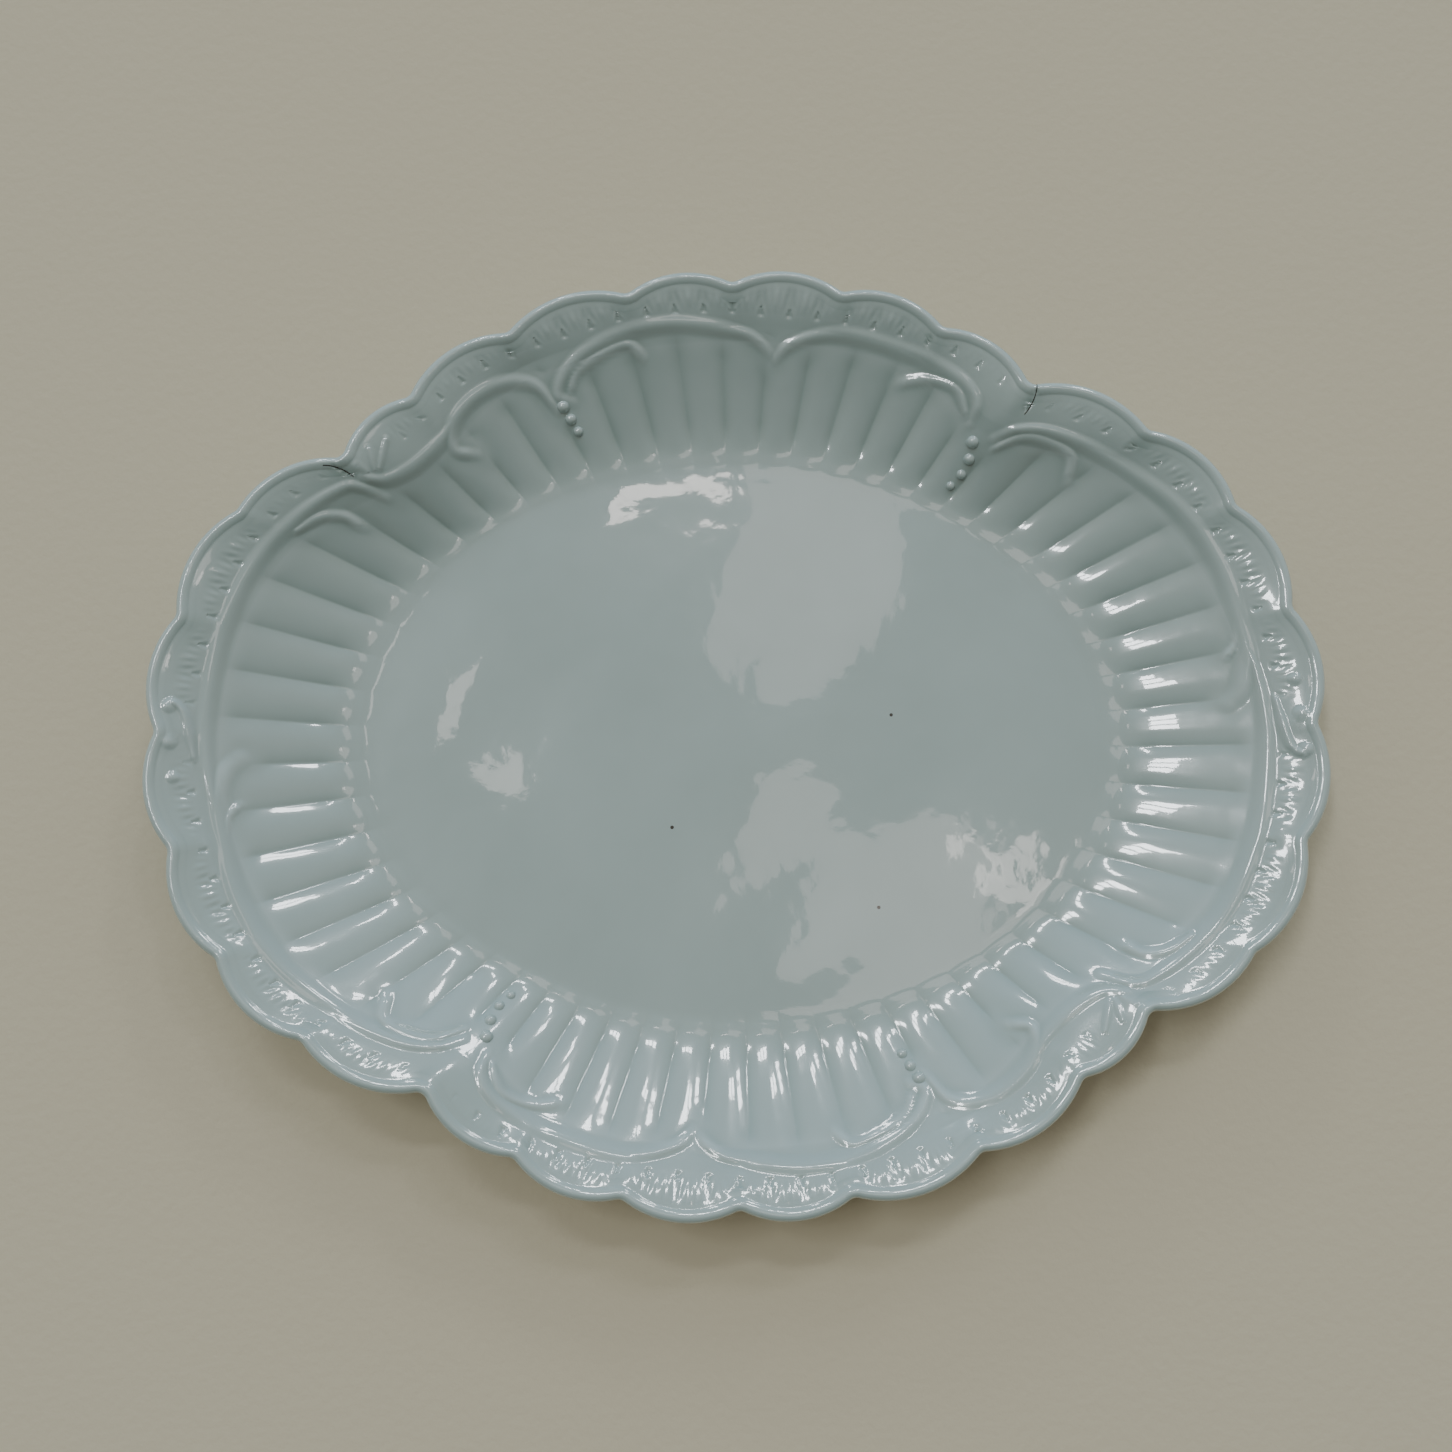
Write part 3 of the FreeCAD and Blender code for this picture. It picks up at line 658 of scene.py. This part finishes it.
def dark_marks(tree, seen):
    """1 inside an iron speck or a crease, 0 elsewhere."""
    marks = []
    for x, y in SPECKS:
        away = add_node(tree, "VectorMath", [(0, seen), (1, (x * MM, y * MM, sizes().well_top))],
                        operation="DISTANCE")
        marks.append(add_node(tree, "Math", [(0, away.outputs["Value"]), (1, SPECK_RADIUS * MM)],
                              operation="LESS_THAN"))
    for (ox, oy), (ix, iy) in CREASES:
        span = math.hypot(ox - ix, oy - iy) * MM
        turned = add_node(tree, "Mapping", [("Vector", seen), ("Location", (ix * MM, iy * MM, 0.0)),
                                            ("Rotation", (0.0, 0.0, math.atan2(oy - iy, ox - ix)))],
                          vector_type="TEXTURE")
        split = add_node(tree, "SeparateXYZ", [(0, turned.outputs[0])])
        along, aside = split.outputs["X"], split.outputs["Y"]
        # the crease bows by a little: aside = -bow * along * (span - along)
        rest = add_node(tree, "Math", [(0, span), (1, along)], operation="SUBTRACT")
        bow = add_node(tree, "Math", [(0, along), (1, rest.outputs[0])], operation="MULTIPLY")
        bent = add_node(tree, "Math", [(0, bow.outputs[0]), (1, CREASE_BOW), (2, aside)],
                        operation="MULTIPLY_ADD")
        off = add_node(tree, "Math", [(0, bent.outputs[0])], operation="ABSOLUTE")
        close = add_node(tree, "Math", [(0, off.outputs[0]), (1, CREASE_HALF_WIDTH * MM)],
                         operation="LESS_THAN")
        begun = add_node(tree, "Math", [(0, along), (1, 0.0)], operation="GREATER_THAN")
        on = add_node(tree, "Math", [(0, close.outputs[0]), (1, begun.outputs[0])],
                      operation="MULTIPLY")
        ended = add_node(tree, "Math", [(0, along), (1, span + CREASE_PAST * MM)],
                         operation="LESS_THAN")
        marks.append(add_node(tree, "Math", [(0, on.outputs[0]), (1, ended.outputs[0])],
                              operation="MULTIPLY"))
    total = marks[0]
    for mark in marks[1:]:
        total = add_node(tree, "Math", [(0, total.outputs[0]), (1, mark.outputs[0])],
                         operation="MAXIMUM")
    return total.outputs[0]


def bare_material():
    """Unglazed porcelain, wiped before firing: a warm, chalky white with a fine sandy grain and grey wear."""
    material, tree = new_material("unglazed_porcelain")
    seen = add_node(tree, "TexCoord").outputs["Object"]
    # wear from tables in patches 8 mm across, and a grain of 0.6 mm
    wear = add_node(tree, "TexNoise", [("Vector", seen), ("Scale", 1.0 / (8.0 * MM)), ("Detail", 4.0)])
    grain = add_node(tree, "TexNoise", [("Vector", seen), ("Scale", 1.0 / (0.6 * MM)),
                                        ("Detail", 2.0)])
    shade = add_node(tree, "MapRange", [("Value", wear.outputs["Fac"]), ("From Min", 0.45),
                                        ("From Max", 0.75), ("To Max", 0.6)])
    body = add_node(tree, "Mix", [("Factor", shade.outputs[0]), (6, colours().bare),
                                  (7, colours().worn)], data_type="RGBA")
    bump = add_node(tree, "Bump", [("Height", grain.outputs["Fac"]), ("Strength", 0.35),
                                   ("Distance", 0.2 * MM)])
    surface = add_node(tree, "BsdfPrincipled", [("Base Color", body.outputs[2]), ("IOR", 1.5),
                                                ("Normal", bump.outputs[0]), ("Roughness", 0.78)])
    add_node(tree, "OutputMaterial", [("Surface", surface.outputs[0])])
    return material


# ---- pieces ----
class CHINA_OT_gadrooned_wall(bpy.types.Operator):
    """Sloping wall of raised gadroons"""

    bl_idname = "china.gadrooned_wall"
    bl_label = "Gadrooned wall"

    def execute(self, context):
        ring_piece("gadrooned_wall", "wall", "under_wall")
        return {"FINISHED"}


class CHINA_OT_scroll_moulding(bpy.types.Operator):
    """Scroll moulding along the shoulder"""

    bl_idname = "china.scroll_moulding"
    bl_label = "Scroll moulding"

    def execute(self, context):
        ring_piece("scroll_moulding", "moulding", "under_moulding")
        return {"FINISHED"}


class CHINA_OT_ruffled_rim(bpy.types.Operator):
    """Flared rim with its ruffle of fans"""

    bl_idname = "china.ruffled_rim"
    bl_label = "Ruffled rim"

    def execute(self, context):
        ring_piece("ruffled_rim", "rim", "under_rim")
        return {"FINISHED"}


class CHINA_OT_rolled_lip(bpy.types.Operator):
    """Scalloped lip with its rolled edge"""

    bl_idname = "china.rolled_lip"
    bl_label = "Rolled lip"

    def execute(self, context):
        ring_piece("rolled_lip", "lip", "under_lip")
        return {"FINISHED"}


class CHINA_OT_well_floor(bpy.types.Operator):
    """Flat well in the middle"""

    bl_idname = "china.well_floor"
    bl_label = "Well floor"

    def execute(self, context):
        c = casting()
        deselect()
        rings, step = 60, 0.4                # step in mm, for the slopes
        bpy.ops.mesh.primitive_uv_sphere_add(segments=480, ring_count=2 * rings, radius=1.0,
                                             location=(0.0, 0.0, 0.0))
        piece = context.view_layer.objects.active
        ball = np.array([v.co for v in piece.data.vertices], float)
        turn = np.degrees(np.arctan2(ball[:, 1], ball[:, 0])) % 360.0
        dive = np.degrees(np.arccos(np.clip(ball[:, 2], -1.0, 1.0)))     # 0 at the top pole, 180 at the other
        # the middle ring of the ball is the well's upper border; the one below it, its lower border
        below = dive > 90.5
        share = np.minimum(dive, 180.0 - dive) / np.where(below, 90.0 - 90.0 / rings, 90.0)
        plan = c.place(turn, (c.well_reach(turn) - WELL_SEAM) * np.clip(share, 0.0, 1.0))
        x, y = plan.T
        points = np.column_stack([plan, np.where(below, c.underside(x, y), c.height(x, y))])
        rise_x = (c.height(x + step, y) - c.height(x - step, y)) / (2.0 * step)
        rise_y = (c.height(x, y + step) - c.height(x, y - step)) / (2.0 * step)
        normals = np.column_stack([-rise_x, -rise_y, np.ones(len(plan))])
        normals[below] = (0.0, 0.0, -1.0)
        normals /= np.linalg.norm(normals, axis=1)[:, None]
        set_shape(piece, points, np.full(len(points), 0.5), normals)
        finish_piece(piece, "well_floor", glaze_material())
        return {"FINISHED"}


class CHINA_OT_foot_ring(bpy.types.Operator):
    """Foot ring under the well"""

    bl_idname = "china.foot_ring"
    bl_label = "Foot ring"

    def execute(self, context):
        c = casting()
        s = sizes()
        around, section = 256, 24
        deselect()
        bpy.ops.mesh.primitive_torus_add(major_segments=around, minor_segments=section, major_radius=0.1,
                                         minor_radius=0.01, location=(0.0, 0.0, 0.0))
        piece = context.view_layer.objects.active
        turn = np.repeat(np.arange(around) * 360.0 / around, section)
        angle = np.tile(np.arange(section) * 2.0 * math.pi / section, around)
        across = np.array([s.foot_long, s.foot_short]) / MM
        border = across / 2.0 * np.stack([np.cos(np.radians(turn)), np.sin(np.radians(turn))], -1)
        size = np.hypot(*border.T)
        # a rounded section, a super-ellipse, that tapers downwards and is let into the base (mm)
        power, taper, let_in = 0.45, 0.35, 1.0
        side = np.sign(np.cos(angle)) * np.abs(np.cos(angle)) ** power
        up = np.sign(np.sin(angle)) * np.abs(np.sin(angle)) ** power
        half_width, top = s.foot_width / MM / 2.0, c.under + let_in
        level = top / 2.0 * (1.0 + up)
        out = side * (half_width + taper * (level / top - 0.5))
        plan = border * ((size - half_width + out) / size)[:, None]
        set_shape(piece, np.column_stack([plan, level]), np.zeros(len(plan)))
        finish_piece(piece, "foot_ring", bare_material())
        return {"FINISHED"}


class CHINA_OT_bead_drops(bpy.types.Operator):
    """Rows of beads that run down from the scrolls"""

    bl_idname = "china.bead_drops"
    bl_label = "Bead drops"

    def execute(self, context):
        c = casting()
        spots = []
        for row in BEAD_ROWS:
            for index, (turn, reach) in enumerate(row):
                for half in (0.0, 180.0):
                    spots.append((c.place(turn + half, reach), BEAD_RADIUS - BEAD_TAPER * index))
        squat, sunk, flare = 0.75, 0.05, 0.28
        beads = []
        for spot, radius in spots:
            level = float(c.height(spot[:1], spot[1:])[0])
            deselect()
            bpy.ops.mesh.primitive_uv_sphere_add(segments=48, ring_count=24, radius=radius * MM,
                                                 location=(0.0, 0.0, 0.0))
            bead = context.view_layer.objects.active
            ball = np.array([v.co for v in bead.data.vertices], float) / MM
            # the lower half flares where the glaze fills the corner round the bead
            wide = 1.0 + flare * ease(-ball[:, 2] / radius * 1.6 + 0.1)
            shaped = np.column_stack([ball[:, 0] * wide + spot[0], ball[:, 1] * wide + spot[1],
                                      ball[:, 2] * squat + level - sunk * radius])
            bead.data.vertices.foreach_set("co", (shaped * MM).astype(np.float32).ravel())
            bead.data.update()
            beads.append(bead)
        deselect()
        for bead in beads:
            bead.select_set(True)
        context.view_layer.objects.active = beads[0]
        bpy.ops.object.join()
        piece = context.view_layer.objects.active
        points = np.array([v.co for v in piece.data.vertices], float) / MM
        set_shape(piece, points, np.full(len(points), 0.35))
        finish_piece(piece, "bead_drops", glaze_material())
        return {"FINISHED"}


# ---- stage ----
LIGHTS_AWAY = 12.0           # m
PANE_GAP = 0.10              # on each side of a pane, as a share of its room: the glazing bars
WINDOW_TINT, CARD_TINT = "#F6F9FC", "#F2E9E4"
ROOM_LOW, ROOM_HIGH = "#F0E0CC", "#C8E0FC"   # the room's light on the -Y and on the +Y side
CAMERA_LENS, CAMERA_SENSOR = 36.05, 36.0     # mm
CAMERA_FROM = (-0.0033, -0.0535, 0.4414)
CAMERA_LOOK = (0.001, 0.129, -0.992)
# Window panes: lean in X and in Y from straight up (degrees, from and to), columns, rows, radiance
WINDOWS = [
    ((-25.5, -19.5), (0.0, 25.0), 1, 3, 24.0),
    ((-17.0, 3.0), (31.0, 35.5), 3, 1, 24.0),
    ((4.0, 14.0), (39.5, 42.5), 2, 1, 24.0),
    ((19.0, 27.0), (38.5, 44.5), 1, 2, 22.0),
    ((32.0, 39.0), (53.0, 62.0), 1, 2, 20.0),
    ((-36.0, -27.0), (62.0, 69.0), 2, 1, 20.0),
]
SOFT_CARDS = [  # the same, for plain patches of the room
    ((0.5, 12.0), (-4.0, 5.0), 1, 1, 1.4),
    ((-0.5, 8.0), (8.0, 19.0), 1, 1, 1.2),
    ((-11.0, -9.0), (6.0, 10.0), 1, 1, 3.0),
    ((10.2, 12.6), (-0.4, 3.4), 1, 1, 4.5),
    ((-4.5, 0.3), (15.9, 17.2), 1, 1, 9.0),
]


def pane_light(name, lean_x, lean_y, radiance, tint):
    """A flat panel of light that fills a range of directions seen from the platter."""
    corners = [np.array([math.tan(math.radians(a)), math.tan(math.radians(b)), 1.0])
               for a in lean_x for b in lean_y]
    aim = sum(corners) / 4.0
    aim /= np.linalg.norm(aim)
    spots = [v * (LIGHTS_AWAY / v.dot(aim)) for v in corners]
    centre = sum(spots) / 4.0
    side = spots[2] + spots[3] - spots[0] - spots[1]
    wide = np.linalg.norm(side / 2.0)
    tall = np.linalg.norm((spots[1] + spots[3] - spots[0] - spots[2]) / 2.0)
    light = bpy.data.lights.new(name, "AREA")
    light.shape = "RECTANGLE"
    light.size, light.size_y = wide, tall
    light.energy = radiance * math.pi * wide * tall
    light.color = tint[:3]
    lamp = bpy.data.objects.new(name, light)
    bpy.context.scene.collection.objects.link(lamp)
    side /= np.linalg.norm(side)
    back = centre / np.linalg.norm(centre)
    up = np.cross(back, side)
    side = np.cross(up, back)
    turn = Matrix([Vector(side), Vector(up / np.linalg.norm(up)), Vector(back)]).transposed()
    lamp.matrix_world = Matrix.Translation(Vector(centre)) @ turn.to_4x4()


def make_lights():
    """Windows in panes, and soft cards, so far away that they lie in the same directions everywhere."""
    for group, (lean_x, lean_y, across, tall, radiance) in enumerate(WINDOWS + SOFT_CARDS):
        tint = hex_colour(WINDOW_TINT if group < len(WINDOWS) else CARD_TINT)
        for i in range(across):
            for j in range(tall):
                cell = []
                for (begin, end), index, count in ((lean_x, i, across), (lean_y, j, tall)):
                    pane = (end - begin) / count
                    cell.append((begin + pane * (index + PANE_GAP), begin + pane * (index + 1 - PANE_GAP)))
                pane_light(f"window_{group}_{i}_{j}", cell[0], cell[1], radiance, tint)


def make_world(scene):
    """The rest of the room: soft light that is dim and warm on one side, bright and cool on the other."""
    world = bpy.data.worlds.new("plain_room")
    scene.world = world
    world.use_nodes = True
    tree = world.node_tree
    tree.nodes.clear()
    around = add_node(tree, "TexCoord").outputs["Generated"]
    split = add_node(tree, "SeparateXYZ", [(0, around)])
    ramp = add_node(tree, "MapRange", [("Value", split.outputs["Y"]), ("From Min", -0.6),
                                       ("From Max", 0.8), ("To Min", 0.09), ("To Max", 0.90)])
    cool = add_node(tree, "MapRange", [("Value", split.outputs["Y"])])
    tint = add_node(tree, "Mix", [("Factor", cool.outputs[0]), (6, hex_colour(ROOM_LOW)),
                                  (7, hex_colour(ROOM_HIGH))], data_type="RGBA")
    sky = add_node(tree, "Background", [("Strength", ramp.outputs[0]), ("Color", tint.outputs[2])])
    add_node(tree, "OutputWorld", [("Surface", sky.outputs[0])])


def floor_material():
    """Matt plaster: a pale, dry surface with a 3 mm trowelled grain and no gloss."""
    material, tree = new_material("matt_floor")
    seen = add_node(tree, "TexCoord").outputs["Object"]
    grain = add_node(tree, "TexNoise", [("Vector", seen), ("Scale", 1.0 / (3.0 * MM)),
                                        ("Detail", 4.0)])
    bump = add_node(tree, "Bump", [("Height", grain.outputs["Fac"]), ("Strength", 0.25),
                                   ("Distance", 0.8 * MM)])
    surface = add_node(tree, "BsdfPrincipled", [("Normal", bump.outputs[0]), ("Roughness", 0.9),
                                                ("Base Color", colours().floor),
                                                ("Specular IOR Level", 0.1)])
    add_node(tree, "OutputMaterial", [("Surface", surface.outputs[0])])
    return material


class CHINA_OT_stage(bpy.types.Operator):
    """Floor, lights and camera"""

    bl_idname = "china.stage"
    bl_label = "Stage"

    def execute(self, context):
        deselect()
        bpy.ops.mesh.primitive_plane_add(size=6.0, location=(0.0, 0.0, 0.0))
        floor = context.view_layer.objects.active
        floor.name = "pale_floor"
        floor.data.materials.append(floor_material())

        make_lights()
        make_world(context.scene)

        camera = bpy.data.cameras.new("camera")
        camera.lens, camera.sensor_width = CAMERA_LENS, CAMERA_SENSOR
        camera.clip_start = 0.01
        holder = bpy.data.objects.new("camera", camera)
        context.scene.collection.objects.link(holder)
        holder.location = CAMERA_FROM
        holder.rotation_euler = Vector(CAMERA_LOOK).to_track_quat("-Z", "Y").to_euler()
        context.scene.camera = holder
        return {"FINISHED"}


STEPS = [CHINA_OT_well_floor, CHINA_OT_gadrooned_wall, CHINA_OT_bead_drops, CHINA_OT_scroll_moulding,
         CHINA_OT_ruffled_rim, CHINA_OT_rolled_lip, CHINA_OT_foot_ring, CHINA_OT_stage]


class CHINA_PT_platter(bpy.types.Panel):
    """Buttons for the platter's regions and the stage"""

    bl_idname = "CHINA_PT_platter"
    bl_label = "China platter"
    bl_space_type = "VIEW_3D"
    bl_region_type = "UI"
    bl_category = "China"

    def draw(self, context):
        for group in (context.scene.platter_sizes, context.scene.platter_colours):
            for key in group.__annotations__:
                self.layout.prop(group, key)
        for step in STEPS:
            self.layout.operator(step.bl_idname)


CLASSES = [PlatterSizes, PlatterColours] + STEPS + [CHINA_PT_platter]


def register():
    for item in CLASSES:
        bpy.utils.register_class(item)
    bpy.types.Scene.platter_sizes = bpy.props.PointerProperty(type=PlatterSizes)
    bpy.types.Scene.platter_colours = bpy.props.PointerProperty(type=PlatterColours)


def unregister():
    del bpy.types.Scene.platter_colours
    del bpy.types.Scene.platter_sizes
    for item in reversed(CLASSES):
        bpy.utils.unregister_class(item)


def main():
    register()
    for step in STEPS:
        group, name = step.bl_idname.split(".")
        getattr(getattr(bpy.ops, group), name)()


if __name__ == "__main__":
    main()
